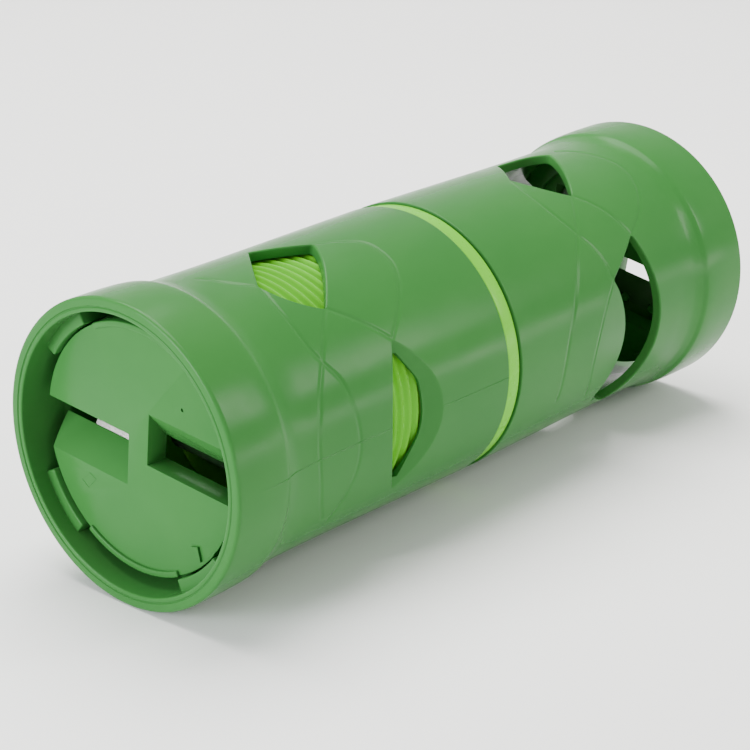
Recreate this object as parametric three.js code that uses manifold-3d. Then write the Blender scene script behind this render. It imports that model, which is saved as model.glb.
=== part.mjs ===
// Hand-held, double-ended spiral vegetable slicer.
//
// Millimetres. The barrel lies on its side: X runs along the barrel axis from the front
// rim (-X) to the rear rim (+X), Z is up, and the barrel rests on Z = 0. The origin is
// under the middle of the barrel. Each half is drawn by its depth, the distance from its
// own rim, and by angles about the axis, in degrees from +Y towards +Z.

import * as THREE from 'three';
import { mergeVertices } from 'three/addons/utils/BufferGeometryUtils.js';
import Module from 'manifold-3d';

const wasm = await Module();
wasm.setup();

// ---- Driving dimensions ----------------------------------------------------------------

const LENGTH = 160;
const FACETS = 48;
const GAP = 0.3;
// How far a small joined feature starts inside the piece that it stands on.
const ROOT = 0.5;

// Barrel halves.
const RIM_RADIUS = 30;
const RIM_BORE = 27.1;
const WAIST_RADIUS = 28.3;
const MIDDLE_RADIUS = 28.8;
const BORE_RADIUS = 26.35;

// The outer skin from the rim to the waist, as [depth, radius].
const RIM_SKIN = [
  [0, 29.5], [0.6, RIM_RADIUS], [5, RIM_RADIUS], [12.6, 29.7], [14.2, 29.1],
  [17, 28.55], [21, 28.35], [30, WAIST_RADIUS], [60, 28.6],
];

// The ring between the halves sits just in front of the middle.
const RING_CENTRE = -0.5;
const RING_WIDTH = 3.5;
const RING_RADIUS = 28.4;
const TONGUE_INNER = 26.4;
const TONGUE_OUTER = 27.2;
const TONGUE_REACH = 7.2;
const TONGUE_BEAD = 0.35;
const BEAD_WIDTH = 1;

// The windows are cut through the wall from inside the bore.
const WINDOW_CUT_START = 12;
const WINDOW_CUT_END = 40;

// Lugs inside each rim hold the cutter disc and stop it from sinking in.
const LUG_ANGLES = [47, 142, 232, 322];
const LUG_SPAN = 28;
const LUG_DEPTH = 3.4;
const LUG_BORE = 24.8;
const LUG_ROOT = 28;
const LEDGE_DEPTH = 9.5;
const LEDGE_BORE = 22.5;
const LEDGE_END = 10.9;
const RIM_BORE_END = 11.7;

// Cutter disc and its two chutes. A chute's ramp runs from the face down to the throat.
const DISC_RADIUS = 24.3;
const DISC_FACE = 4.4;
const DISC_BACK = 9.2;
const LIP_HEIGHT = 0.6;
const LIP_WIDTH = 1;
const LIP_RADIUS = 24.5;
const LIP_DEPTH = 9;
const LIP_ANGLES = [94.5, 275.5];
const LIP_SPAN = 59;
const CHUTE_START = 2.5;
const CHUTE_FOOT = -8.1;
const CHUTE_WALL = 2.2;
const THROAT_FOOT = -2.45;
const FRONT_TILT = 5.5;
const REAR_TILT = 9.5;

// Each blade lies on a slanted seat behind its ramp. Places on the seat are measured from
// the ramp's foot: across the chute, and along the blade towards its edge.
const SEAT_SLANT = 22;
const SEAT_CLEARANCE = 0.4;
const SEAT_CUT = 6;
const BLADE_THICKNESS = 0.6;
const BLADE_START = 3;
const BLADE_END = 16.7;
const BLADE_EDGE = 3;
const BLADE_ROOT = -8.9;
const STAKE_RADIUS = 1;
const STAKE_HEIGHT = 1.6;
const STAKE_POSTS = [[6, -5], [13.6, -5]];

// Feed screw and the spiked grippers inside it.
const SCREW_RADIUS = 26;
const SCREW_BORE = 24;
const SCREW_START = 26;
const SCREW_END = 116.5;
const SCREW_LEDGE_BORE = 22.4;
const SCREW_LEDGE_DEPTH = 9.4;
const SCREW_LEDGE_WIDTH = 1.6;
const KEY_ANGLES = [131, 311];
const KEY_WIDTH = 3;
const KEY_BORE = 25.1;
const KEY_ROOT = 26.95;
const KEY_START = 92;
const KEY_END = 148;
const GROOVE_FLOOR = 24.75;
const GROOVE_START = 62;
const GRIPPER_RADIUS = 23.65;
const GRIPPER_THICKNESS = 2;
const SPIKE_RADIUS = 1.1;
const SPIKE_HEIGHT = 6;
const SPIKE_TIP = 0.15;
const SPIKE_CIRCLES = [[4, 6], [8, 14]];

// ---- Materials ---------------------------------------------------------------------------

const green = { color: 0x5a9457, roughness: 0.42, metalness: 0 };
const lightGreen = { color: 0x9ccb66, roughness: 0.4, metalness: 0 };
const steel = { color: 0xb9bcb6, roughness: 0.25, metalness: 1 };

// ---- Geometry helpers --------------------------------------------------------------------

const half = LENGTH / 2;
const radians = THREE.MathUtils.degToRad;
const flatScale = 1 / Math.cos(Math.PI / FACETS);

// Turns a closed three.js geometry into a solid that can be joined and cut.
function solid(geometry) {
  const bare = geometry.index ? geometry.toNonIndexed() : geometry.clone();
  bare.deleteAttribute('normal');
  bare.deleteAttribute('uv');
  const merged = mergeVertices(bare, 1e-4);
  const places = merged.attributes.position.array;
  const corners = merged.index.array;
  const triangles = [];
  let volume = 0;
  const point = (i) => new THREE.Vector3().fromArray(places, 3 * i);
  for (let i = 0; i < corners.length; i += 3) {
    const [a, b, c] = corners.slice(i, i + 3);
    if (a !== b && b !== c && c !== a) {
      triangles.push(a, b, c);
      volume += point(a).dot(point(b).cross(point(c)));
    }
  }
  if (volume < 0) {
    triangles.reverse();
  }
  return new wasm.Manifold(new wasm.Mesh({
    numProp: 3,
    vertProperties: new Float32Array(places),
    triVerts: new Uint32Array(triangles),
  }));
}

// Gives a solid back as a three.js geometry.
function geometryOf(body) {
  const mesh = body.getMesh();
  const geometry = new THREE.BufferGeometry();
  const places = new THREE.BufferAttribute(new Float32Array(mesh.vertProperties), 3);
  geometry.setAttribute('position', places);
  geometry.setIndex(new THREE.BufferAttribute(new Uint32Array(mesh.triVerts), 1));
  return geometry;
}

// A ring turned about the X axis from [depth, radius] points. Its flats have that radius.
function turned(profile) {
  const points = profile.map(([depth, radius]) => new THREE.Vector2(radius * flatScale, depth));
  points.push(points[0].clone());
  const geometry = new THREE.LatheGeometry(points, FACETS, Math.PI / FACETS);
  geometry.rotateZ(-Math.PI / 2);
  geometry.translate(-half, 0, 0);
  return geometry;
}

// Extrudes a shape drawn in (Y, Z) along X, from one depth to another.
function alongAxis(shape, startDepth, endDepth, curveSegments = 12) {
  const options = { depth: endDepth - startDepth, bevelEnabled: false, curveSegments };
  const geometry = new THREE.ExtrudeGeometry(shape, options);
  const basis = new THREE.Matrix4().makeBasis(
    new THREE.Vector3(0, 1, 0), new THREE.Vector3(0, 0, 1), new THREE.Vector3(1, 0, 0));
  geometry.applyMatrix4(basis);
  geometry.translate(startDepth - half, 0, 0);
  return geometry;
}

// Extrudes a shape drawn in (X, Z) along Y, from one side to another.
function acrossAxis(shape, startY, endY) {
  const geometry = new THREE.ExtrudeGeometry(shape, { depth: endY - startY, bevelEnabled: false });
  geometry.rotateX(Math.PI / 2);
  geometry.translate(0, endY, 0);
  return geometry;
}

// Extrudes a shape drawn in (X, distance round the barrel) outwards at one angle.
function outwards(shape, angle, startRadius, endRadius) {
  const options = { depth: endRadius - startRadius, bevelEnabled: false, curveSegments: 6 };
  const geometry = new THREE.ExtrudeGeometry(shape, options);
  const out = new THREE.Vector3(0, Math.cos(radians(angle)), Math.sin(radians(angle)));
  const along = new THREE.Vector3(1, 0, 0);
  const round = new THREE.Vector3().crossVectors(out, along);
  geometry.applyMatrix4(new THREE.Matrix4().makeBasis(along, round, out));
  geometry.translate(out.x * startRadius, out.y * startRadius, out.z * startRadius);
  return geometry;
}

function sectorShape(innerRadius, outerRadius, centreAngle, span) {
  const start = radians(centreAngle - span / 2);
  const end = radians(centreAngle + span / 2);
  const shape = new THREE.Shape();
  shape.absarc(0, 0, outerRadius, start, end, false);
  shape.absarc(0, 0, innerRadius, end, start, true);
  shape.closePath();
  return shape;
}

function polygon(points) {
  return new THREE.Shape(points.map(([x, y]) => new THREE.Vector2(x, y)));
}

// ---- Barrel halves -----------------------------------------------------------------------

const frontLength = half + RING_CENTRE - RING_WIDTH / 2 - GAP;
const rearLength = half - RING_CENTRE - RING_WIDTH / 2 - GAP;

function barrelProfile(length) {
  const socket = TONGUE_OUTER + GAP;
  const beadCentre = length - TONGUE_REACH + BEAD_WIDTH;
  const groove = socket + TONGUE_BEAD;
  const grooveHalf = BEAD_WIDTH / 2 + GAP;
  return [
    [0, RIM_BORE], ...RIM_SKIN, [length, MIDDLE_RADIUS], [length, socket],
    [beadCentre + grooveHalf, socket], [beadCentre + grooveHalf, groove],
    [beadCentre - grooveHalf, groove], [beadCentre - grooveHalf, socket],
    [length - TONGUE_REACH - GAP, socket], [length - TONGUE_REACH - GAP, BORE_RADIUS],
    [RIM_BORE_END, BORE_RADIUS], [RIM_BORE_END - 1, RIM_BORE],
  ];
}

// A window's outline is a list of edges, each ending at [depth, angle], with an optional
// point that the edge bends towards.
function windowCutter(edges, centreAngle) {
  const flat = ([depth, angle]) => new THREE.Vector2(
    depth - half, -WAIST_RADIUS * Math.sin(radians(angle - centreAngle)));
  const shape = new THREE.Shape();
  const first = flat(edges[edges.length - 1].to);
  shape.moveTo(first.x, first.y);
  for (const { to, bend } of edges) {
    const end = flat(to);
    if (bend) {
      const control = flat(bend);
      shape.quadraticCurveTo(control.x, control.y, end.x, end.y);
    } else {
      shape.lineTo(end.x, end.y);
    }
  }
  return outwards(shape, centreAngle, WINDOW_CUT_START, WINDOW_CUT_END);
}

// The kite-shaped window on top of the front half.
const frontKite = {
  centre: 103,
  edges: [
    { to: [28.4, 106.8], bend: [32.4, 95] },
    { to: [36.7, 126.8], bend: [29.6, 119] },
    { to: [50.2, 93.2], bend: [46.6, 107] },
    { to: [39.9, 78.9] },
  ],
};

// The leaf-shaped window of the front half: a rim-side edge, and a slope cut down to it.
const leafCentre = 180;
const leafEdge = [
  { to: [47.6, 147.5] },
  { to: [47.4, 212], bend: [38.2, 180] },
  { to: [62, 214] },
  { to: [62, 146] },
];
const leafSlope = 0.47;
const leafTop = 57.2;
const leafSurface = 28.6;
const leafReach = [38, 62];
const leafHalfWidth = 17;

// The kite-shaped window on top of the rear half.
const rearKite = {
  centre: 95,
  edges: [
    { to: [50.2, 96.5], bend: [46.2, 87] },
    { to: [42.1, 117.7], bend: [48.4, 109] },
    { to: [29, 84.5], bend: [35.2, 102.8] },
    { to: [41, 74.8], bend: [30.5, 73.5] },
  ],
};

// The leaf-shaped window of the rear half.
const rearLeaf = {
  centre: 189,
  edges: [
    { to: [44.5, 159.5] },
    { to: [44.5, 218.5], bend: [36.4, 189] },
    { to: [33.7, 233.4] },
    { to: [33.7, 144.6], bend: [24.6, 189] },
  ],
};

function leafCutter() {
  const [low, high] = leafReach;
  const height = (depth) => leafSurface - leafSlope * (leafTop - depth);
  const side = polygon([
    [low - half, height(low)], [high - half, height(high)],
    [high - half, WINDOW_CUT_END], [low - half, WINDOW_CUT_END],
  ]);
  const wedge = solid(acrossAxis(side, -leafHalfWidth, leafHalfWidth).rotateX(radians(leafCentre - 90)));
  return wedge.intersect(solid(windowCutter(leafEdge, leafCentre)));
}

function lugs() {
  const pieces = [];
  for (const angle of LUG_ANGLES) {
    const lug = sectorShape(LUG_BORE, LUG_ROOT, angle, LUG_SPAN);
    const ledge = sectorShape(LEDGE_BORE, LUG_ROOT, angle, LUG_SPAN);
    pieces.push(solid(alongAxis(lug, LUG_DEPTH, LEDGE_END, 4)));
    pieces.push(solid(alongAxis(ledge, LEDGE_DEPTH, LEDGE_END, 4)));
  }
  return pieces;
}

function halfTurned(body) {
  return solid(geometryOf(body).rotateX(Math.PI));
}

function frontBarrel() {
  let body = solid(turned(barrelProfile(frontLength)));
  lugs().forEach((lug) => { body = body.add(lug); });
  for (const cutter of [solid(windowCutter(frontKite.edges, frontKite.centre)), leafCutter()]) {
    body = body.subtract(cutter).subtract(halfTurned(cutter));
  }
  return geometryOf(body);
}

// Two long keys on the rear half's inner wall stop the feed screw from turning in it.
function keys() {
  const span = THREE.MathUtils.radToDeg(KEY_WIDTH / SCREW_RADIUS);
  return KEY_ANGLES.map((angle) => {
    const shape = sectorShape(KEY_BORE, KEY_ROOT, angle, span);
    return solid(alongAxis(shape, LENGTH - KEY_END, LENGTH - KEY_START, 1));
  });
}

function rearBarrel() {
  let body = solid(turned(barrelProfile(rearLength)));
  [...lugs(), ...keys()].forEach((piece) => { body = body.add(piece); });
  for (const { edges, centre } of [rearKite, rearLeaf]) {
    const cutter = solid(windowCutter(edges, centre));
    body = body.subtract(cutter).subtract(halfTurned(cutter));
  }
  return mirrored(geometryOf(body));
}

// Turns a piece drawn for the front end into the same piece at the rear end.
function mirrored(geometry) {
  return geometryOf(solid(geometry.clone().scale(-1, 1, 1)));
}

// ---- Ring between the halves -------------------------------------------------------------

function midRing() {
  const centre = half + RING_CENTRE;
  const flange = RING_WIDTH / 2;
  const reach = flange + GAP + TONGUE_REACH;
  const beadInner = reach - BEAD_WIDTH - BEAD_WIDTH / 2;
  const beadOuter = reach - BEAD_WIDTH + BEAD_WIDTH / 2;
  const bead = TONGUE_OUTER + TONGUE_BEAD;
  const side = [
    [flange, RING_RADIUS], [flange, TONGUE_OUTER], [beadInner, TONGUE_OUTER],
    [beadInner, bead], [beadOuter, bead], [beadOuter, TONGUE_OUTER],
    [reach, TONGUE_OUTER], [reach, TONGUE_INNER],
  ];
  const rear = side.map(([depth, radius]) => [centre + depth, radius]);
  const front = side.map(([depth, radius]) => [centre - depth, radius]).reverse();
  return turned([...front, ...rear]);
}

// ---- Feed screw and grippers -------------------------------------------------------------

function feedScrew() {
  const frontLedge = SCREW_START + SCREW_LEDGE_DEPTH;
  const rearLedge = SCREW_END - SCREW_LEDGE_DEPTH;
  let body = solid(turned([
    [SCREW_START, SCREW_BORE], [SCREW_START, SCREW_RADIUS], [SCREW_END, SCREW_RADIUS],
    [SCREW_END, SCREW_BORE], [rearLedge, SCREW_BORE], [rearLedge, SCREW_LEDGE_BORE],
    [rearLedge - SCREW_LEDGE_WIDTH, SCREW_LEDGE_BORE], [rearLedge - SCREW_LEDGE_WIDTH, SCREW_BORE],
    [frontLedge + SCREW_LEDGE_WIDTH, SCREW_BORE], [frontLedge + SCREW_LEDGE_WIDTH, SCREW_LEDGE_BORE],
    [frontLedge, SCREW_LEDGE_BORE], [frontLedge, SCREW_BORE],
  ]));
  const span = THREE.MathUtils.radToDeg((KEY_WIDTH + 2 * GAP) / SCREW_RADIUS);
  for (const angle of KEY_ANGLES) {
    const groove = sectorShape(GROOVE_FLOOR, SCREW_RADIUS + 1, angle, span);
    body = body.subtract(solid(alongAxis(groove, GROOVE_START, SCREW_END + 1, 1)));
  }
  return geometryOf(body);
}

// A plate with rings of spikes pointing to -X, its back at the given depth.
function gripper(backDepth) {
  const plateStart = backDepth - GRIPPER_THICKNESS;
  const circle = new THREE.Shape();
  circle.absarc(0, 0, GRIPPER_RADIUS, 0, 2 * Math.PI, false);
  let body = solid(alongAxis(circle, plateStart, backDepth, 20));
  for (const [count, radius] of SPIKE_CIRCLES) {
    for (let i = 0; i < count; i += 1) {
      const angle = (2 * Math.PI * i) / count;
      const spike = new THREE.CylinderGeometry(SPIKE_TIP, SPIKE_RADIUS, SPIKE_HEIGHT + ROOT, 8);
      spike.rotateZ(Math.PI / 2);
      spike.translate(
        plateStart - half + (ROOT - SPIKE_HEIGHT) / 2,
        radius * Math.cos(angle),
        radius * Math.sin(angle));
      body = body.add(solid(spike));
    }
  }
  return geometryOf(body);
}

// ---- Cutter discs ------------------------------------------------------------------------

// One chute: a ramp from the outer face down to the throat, open at the disc's edge.
function chute() {
  const slope = (THROAT_FOOT - CHUTE_FOOT) / (DISC_BACK - DISC_FACE);
  const before = DISC_FACE - 1;
  const behind = DISC_BACK + 1;
  const side = polygon([
    [before - half, CHUTE_FOOT - slope], [behind - half, THROAT_FOOT + slope],
    [behind - half, CHUTE_WALL], [before - half, CHUTE_WALL],
  ]);
  return acrossAxis(side, CHUTE_START, DISC_RADIUS + 2);
}

// Puts a piece drawn on a blade's seat, with X as the depth below it, into its place.
function seated(geometry) {
  geometry.rotateY(radians(SEAT_SLANT));
  return geometry.translate(DISC_BACK - half, 0, THROAT_FOOT);
}

function seatPocket() {
  const outline = polygon([
    [BLADE_START - SEAT_CLEARANCE, BLADE_ROOT - SEAT_CLEARANCE],
    [BLADE_END + SEAT_CLEARANCE, BLADE_ROOT - SEAT_CLEARANCE],
    [BLADE_END + SEAT_CLEARANCE, 0], [BLADE_START - SEAT_CLEARANCE, 0],
  ]);
  return seated(alongAxis(outline, half, half + SEAT_CUT));
}

function stakes() {
  return STAKE_POSTS.map(([y, z]) => {
    const stake = new THREE.CylinderGeometry(STAKE_RADIUS, STAKE_RADIUS, STAKE_HEIGHT + ROOT, 12);
    stake.rotateZ(Math.PI / 2);
    return seated(stake.translate((STAKE_HEIGHT - ROOT) / 2, y, z));
  });
}

// Raised lips on the face, between the lugs and clear of the chutes.
function discLips() {
  return LIP_ANGLES.map((angle) => {
    const lip = sectorShape(DISC_RADIUS - LIP_WIDTH, LIP_RADIUS, angle, LIP_SPAN);
    return alongAxis(lip, DISC_FACE - LIP_HEIGHT, LIP_DEPTH, 8);
  });
}

// Both discs are alike. The rear one is turned end for end.
const atFront = (geometry) => geometry.rotateX(radians(FRONT_TILT));
const atRear = (geometry) => geometry.rotateZ(Math.PI).rotateX(radians(REAR_TILT));

function cutterDisc(place) {
  const circle = new THREE.Shape();
  circle.absarc(0, 0, DISC_RADIUS, 0, 2 * Math.PI, false);
  let body = solid(alongAxis(circle, DISC_FACE, DISC_BACK, 24));
  for (const turn of [0, Math.PI]) {
    body = body.subtract(solid(chute().rotateX(turn)));
    body = body.subtract(solid(seatPocket().rotateX(turn)));
    stakes().forEach((stake) => { body = body.add(solid(stake.rotateX(turn))); });
  }
  body = solid(place(geometryOf(body)));
  for (const lip of discLips()) {
    body = body.add(solid(place === atRear ? mirrored(lip) : lip));
  }
  return geometryOf(body);
}

// A slicing blade on its seat. Its edge reaches past the ramp's foot, over the throat.
function blade(place, turn) {
  const plate = polygon([
    [BLADE_START, BLADE_ROOT], [BLADE_END, BLADE_ROOT],
    [BLADE_END, BLADE_EDGE], [BLADE_START, BLADE_EDGE],
  ]);
  for (const [y, z] of STAKE_POSTS) {
    const hole = new THREE.Path();
    hole.absarc(y, z, STAKE_RADIUS + GAP, 0, 2 * Math.PI, true);
    plate.holes.push(hole);
  }
  const geometry = seated(alongAxis(plate, half + GAP, half + GAP + BLADE_THICKNESS, 8));
  return geometryOf(solid(place(geometry.rotateX(turn))));
}

// ---- Assembly ----------------------------------------------------------------------------

function part(name, geometry, look) {
  const mesh = new THREE.Mesh(geometry, new THREE.MeshStandardMaterial(look));
  mesh.name = name;
  return mesh;
}

const slicer = new THREE.Group();

const barrel = new THREE.Group();
barrel.position.z = RIM_RADIUS;
slicer.add(barrel);

barrel.add(part('front_barrel', frontBarrel(), green));
barrel.add(part('rear_barrel', rearBarrel(), green));
barrel.add(part('mid_ring', midRing(), lightGreen));

const feed = new THREE.Group();
feed.add(part('feed_screw', feedScrew(), lightGreen));
feed.add(part('front_gripper', gripper(SCREW_START + SCREW_LEDGE_DEPTH - GAP), lightGreen));
const rearGripper = gripper(LENGTH - SCREW_END + SCREW_LEDGE_DEPTH - GAP);
feed.add(part('rear_gripper', mirrored(rearGripper), lightGreen));
barrel.add(feed);

const frontCutter = new THREE.Group();
frontCutter.add(part('front_cutter_disc', cutterDisc(atFront), green));
frontCutter.add(part('front_blade_a', blade(atFront, 0), steel));
frontCutter.add(part('front_blade_b', blade(atFront, Math.PI), steel));
barrel.add(frontCutter);

const rearCutter = new THREE.Group();
rearCutter.add(part('rear_cutter_disc', cutterDisc(atRear), green));
rearCutter.add(part('rear_blade_a', blade(atRear, 0), steel));
rearCutter.add(part('rear_blade_b', blade(atRear, Math.PI), steel));
barrel.add(rearCutter);

export default slicer;
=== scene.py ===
"""Looks of the hand-held, double-ended spiral vegetable slicer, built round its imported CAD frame.

Lengths in this file are millimetres until a mesh is made; Blender itself works in metres. The barrel lies
along X with its axis at z = 30. Each half is drawn by its depth (distance from its own rim) and by angles
about the axis, in degrees from +Y towards +Z. The rear half is drawn like the front one and then mirrored.
"""

import math

import bpy
import numpy as np
from mathutils import Matrix, Vector


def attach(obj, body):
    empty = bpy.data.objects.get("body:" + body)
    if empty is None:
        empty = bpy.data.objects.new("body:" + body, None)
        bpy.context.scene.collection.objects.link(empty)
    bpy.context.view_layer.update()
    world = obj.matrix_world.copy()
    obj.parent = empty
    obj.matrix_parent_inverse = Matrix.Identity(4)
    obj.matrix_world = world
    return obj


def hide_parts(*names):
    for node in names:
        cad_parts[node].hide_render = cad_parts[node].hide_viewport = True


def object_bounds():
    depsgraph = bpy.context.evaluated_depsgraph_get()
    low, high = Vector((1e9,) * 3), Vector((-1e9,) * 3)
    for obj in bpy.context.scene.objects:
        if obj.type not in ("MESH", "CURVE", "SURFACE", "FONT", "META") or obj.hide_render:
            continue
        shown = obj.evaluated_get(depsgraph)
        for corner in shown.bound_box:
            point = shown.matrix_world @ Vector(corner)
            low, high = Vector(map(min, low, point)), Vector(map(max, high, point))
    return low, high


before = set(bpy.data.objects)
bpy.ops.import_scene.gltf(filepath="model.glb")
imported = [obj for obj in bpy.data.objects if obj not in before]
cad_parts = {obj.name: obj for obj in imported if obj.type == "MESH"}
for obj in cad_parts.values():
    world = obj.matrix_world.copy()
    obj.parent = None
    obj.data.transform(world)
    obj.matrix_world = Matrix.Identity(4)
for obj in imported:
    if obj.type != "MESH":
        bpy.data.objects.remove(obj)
CAD_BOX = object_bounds()

# ---- Sizes -----------------------------------------------------------------------------------------------

MM = 0.001
HALF = CAD_BOX[1].x / MM
AXIS_HEIGHT = 30.0

# Barrel halves: the outer skin from the rim to the middle, as (depth, radius).
RIM_RADIUS = 30.0
WAIST = 28.3
SKIN = ((0, RIM_RADIUS), (5, RIM_RADIUS), (9.5, 29.92), (12.6, 29.7), (14.2, 29.1), (17, 28.55), (21, 28.35),
        (30, WAIST), (60, 28.6), (78.5, 28.8))
RIM_ROUNDING = 1.1
RIM_BORE = 27.1
RIM_BORE_END = 11.2
BORE = 26.35
FRONT_LENGTH = 77.45
REAR_LENGTH = 78.45
SOCKET = 27.5
SOCKET_DEPTH = 7.5

# The fine line round each rim's end face, as (depth, radius) from its outer side to its inner side.
RIM_LINE = ((0.0, 28.3), (0.22, 28.15), (0.22, 28.05), (0.05, 27.85))

# Engraved lines, mould seams (at angles about the axis) and the rounded edge of each window.
GROOVE_DEPTH = 0.16
GROOVE_WIDTH = 0.34
GROOVE_REACH = 1.4
FRONT_SEAMS = (0, 180)
SEAM_HEIGHT = 0.13
SEAM_WIDTH = 0.2
SEAM_FADE = (1, 3)
FLARE = 0.5

# Spacing of the shells' mesh points along the barrel and round it.
FIRST_DEPTH = 0.9
DEPTH_STEP = 0.3
ANGLE_STEP = 0.5

# Lugs and ledges inside each rim.
LUG_ANGLES = (47, 142, 232, 322)
LUG_SPAN = 28
LUG_DEPTH = 3.4
LUG_BORE = 24.8
LUG_ROOT = 27.9
LUG_ROUNDING = 0.3
LEDGE_DEPTH = 9.5
LEDGE_BORE = 22.5
LEDGE_END = 10.9

# Ring between the halves.
RING_CENTRE = -0.5
RING_WIDTH = 3.5
RING_RADIUS = 28.4
RING_ROUNDING = 0.3
TONGUE_INNER = 26.4
TONGUE_OUTER = 27.2
TONGUE_REACH = 7.2
TONGUE_GAP = 0.3
BEAD_HEIGHT = 0.35
BEAD_WIDTH = 1.0

# Feed screw, and the keys on the rear half's wall that run in its two grooves.
SCREW_START = 26.0
SCREW_END = 116.5
SCREW_CREST = 26.0
SCREW_ROOT = 24.9
SCREW_PITCH = 2.15
SCREW_BORE = 24.0
SCREW_END_ROUNDING = 0.35
RIB_SHARPNESS = 1.25
SCREW_LEDGES = ((35.4, 37.0), (105.5, 107.1))
SCREW_LEDGE_BORE = 22.4
KEY_ANGLES = (131, 311)
KEY_WIDTH = 3.0
KEY_CREST = 25.1
KEY_ROOT = 26.95
KEY_START = 12.0
KEY_END = 68.0
GROOVE_FLOOR = 24.75
GROOVE_START = 62
GROOVE_GAP = 0.3

# Grippers: a plate with rings of spikes, as (how many, ring's radius).
PLATE_RADIUS = 23.65
PLATE_THICKNESS = 2.0
PLATE_ROUNDING = 0.3
SPIKE_RINGS = ((4, 6), (8, 14))
SPIKE_REACH = 8
SPIKE_RADIUS = 1.1
SPIKE_TIP = 0.18
FRONT_PLATE_BACK = 35.1
REAR_PLATE_BACK = 52.6

# Cutter discs.
DISC_RADIUS = 24.3
DISC_FACE = 4.4
DISC_BACK = 9.2
CHUTE_START = 2.5
CHUTE_FOOT = -8.1
CHUTE_WALL = 2.2
THROAT_FOOT = -2.45
LIP_ANGLES = (94.5, 275.5)
LIP_SPAN = 59
LIP_WIDTH = 1.0
LIP_HEIGHT = 0.6
FRONT_TILT = 5.5
REAR_TILT = 9.5
MOULDED_EDGE = 0.22

# Mould marks on the front disc's outer face, as (y, z) about the axis.
SLIVERS = (((-13.5, -15.1), (-15.2, -14.7), (-15.9, -17.5)), ((-18.0, -15.3), (-19.9, -14.1), (-19.2, -15.0)))
SLIVER_HEIGHT = 0.5
INSERT_CORNERS = ((15.8, -10.4), (13.5, -8.4), (11.8, -9.3), (14.1, -11.7))
INSERT_HEIGHT = 0.05
GATE_PLACE = (-12.0, 11.0)
GATE_RADIUS = 0.35
GATE_DEPTH = 0.3

# Blades, each on a slanted seat behind its ramp; places on the seat are measured from the ramp's foot.
SEAT_SLANT = 22
SEAT_CLEARANCE = 0.4
SEAT_CUT = 6
STAKES = ((6.0, -5.0), (13.6, -5.0))
STAKE_RADIUS = 1.0
STAKE_HEIGHT = 1.6
STAKE_GAP = 0.3
STAKE_ROUNDING = 0.35
BLADE_GAP = 0.3
BLADE_THICKNESS = 0.6
BLADE_START = 3.0
BLADE_END = 16.7
BLADE_EDGE = 3.0
BLADE_ROOT = -8.9
GRIND_WIDTH = 1.3
EDGE_THICKNESS = 0.15

# Windows: the angle that each is cut along, and its corners as (depth, angle). Each corner is reached by a
# curve that bends towards the second point, or by a straight line where there is none.
FRONT_KITE = (103, (((28.4, 106.8), (32.4, 95)), ((36.7, 126.8), (29.6, 119)), ((50.2, 93.2), (46.6, 107)),
                    ((39.9, 78.9), None)))
FRONT_LEAF = (180, (((47.6, 147.5), None), ((47.4, 212), (38.2, 180)), ((62, 214), None), ((62, 146), None)))
REAR_KITE = (95, (((50.2, 96.5), (46.2, 87)), ((42.1, 117.7), (48.4, 109)), ((29, 84.5), (35.2, 102.8)),
                  ((41, 74.8), (30.5, 73.5))))
REAR_LEAF = (189, (((44.5, 159.5), None), ((44.5, 218.5), (36.4, 189)), ((33.7, 233.4), None),
                   ((33.7, 144.6), (24.6, 189))))
WINDOW_CUT_START = 5.0
WINDOW_CUT_END = 45.0
WINDOW_OVERSHOOT = 0.03

# The front leaf's slope down to the bore, and the mouth cut through at its foot.
LEAF_SLOPE = 0.47
LEAF_TOP = 57.2
LEAF_SURFACE = 28.6
LEAF_FLOOR = BORE + 0.45
LEAF_CORNER = 0.25
LEAF_CLEARANCE = 0.06
LEAF_DEPTHS = (38, 60)
LEAF_ANGLES = (143, 218)
LEAF_MOUTH = ((48.1, 154), (50.4, 161), (52.4, 168), (53.1, 180), (52.6, 189), (50.6, 198), (48.4, 207))
LEAF_MOUTH_BACK = ((36, 150), (36, 211))

# The rear leaf's dish: the depth of its crease and of its mouth at the middle angle, and how far each has
# bent towards the rim (-) or towards the middle of the barrel (+) half a width away.
DISH_MIDDLE = 190
DISH_HALF_WIDTH = 30
DISH_CREASE = (52.6, -7.9)
DISH_MOUTH = (40.4, 4)
DISH_SLOPE = 0.105
DISH_CORNER = 0.12
DISH_CLEARANCE = 0.05
DISH_OVERLAP = (1.5, 1.2)
DISH_ANGLES = (160, 221)

# Engraved leaf veins, as (depth, angle) along each line.
FRONT_VEINS = (
    ((21.5, 87.8), (24.8, 100), (28.4, 106.8)),
    ((36.7, 126.8), (39.0, 130.8), (42.2, 136.6), (47.6, 147.5)),
    ((28.4, 106.8), (27.2, 120), (27.6, 140), (31.9, 157), (33.7, 180), (32.6, 196), (29.7, 214)),
    ((36.7, 126.8), (33.0, 135), (29.1, 145), (25.1, 158), (22.6, 176), (24.1, 197), (27.2, 211)),
    ((50.2, 93.2), (54.8, 97), (58.8, 103), (59.8, 111), (59.0, 121), (54.5, 134), (47.6, 147.5)),
)
REAR_VEINS = (
    ((42.1, 117.7), (39.3, 124), (37.1, 130), (35.2, 137.4), (33.7, 144.6)),
    ((50.4, 96.5), (52.1, 108), (52.0, 121.5), (49.5, 135.7), (47.0, 145), (44.5, 159.5)),
    ((42.1, 117.7), (46.1, 127.5), (49.7, 136), (53.8, 146), (58.6, 161), (62.3, 176), (63.4, 189),
     (63.0, 204)),
    ((25.5, 82.5), (22.6, 96), (20.6, 111), (22.0, 123), (26.7, 135.3), (33.7, 144.6)),
    ((44.5, 159.5), (48.4, 168), (51.0, 177), (52.5, 187), (52.4, 197), (50.3, 211)),
)

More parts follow.
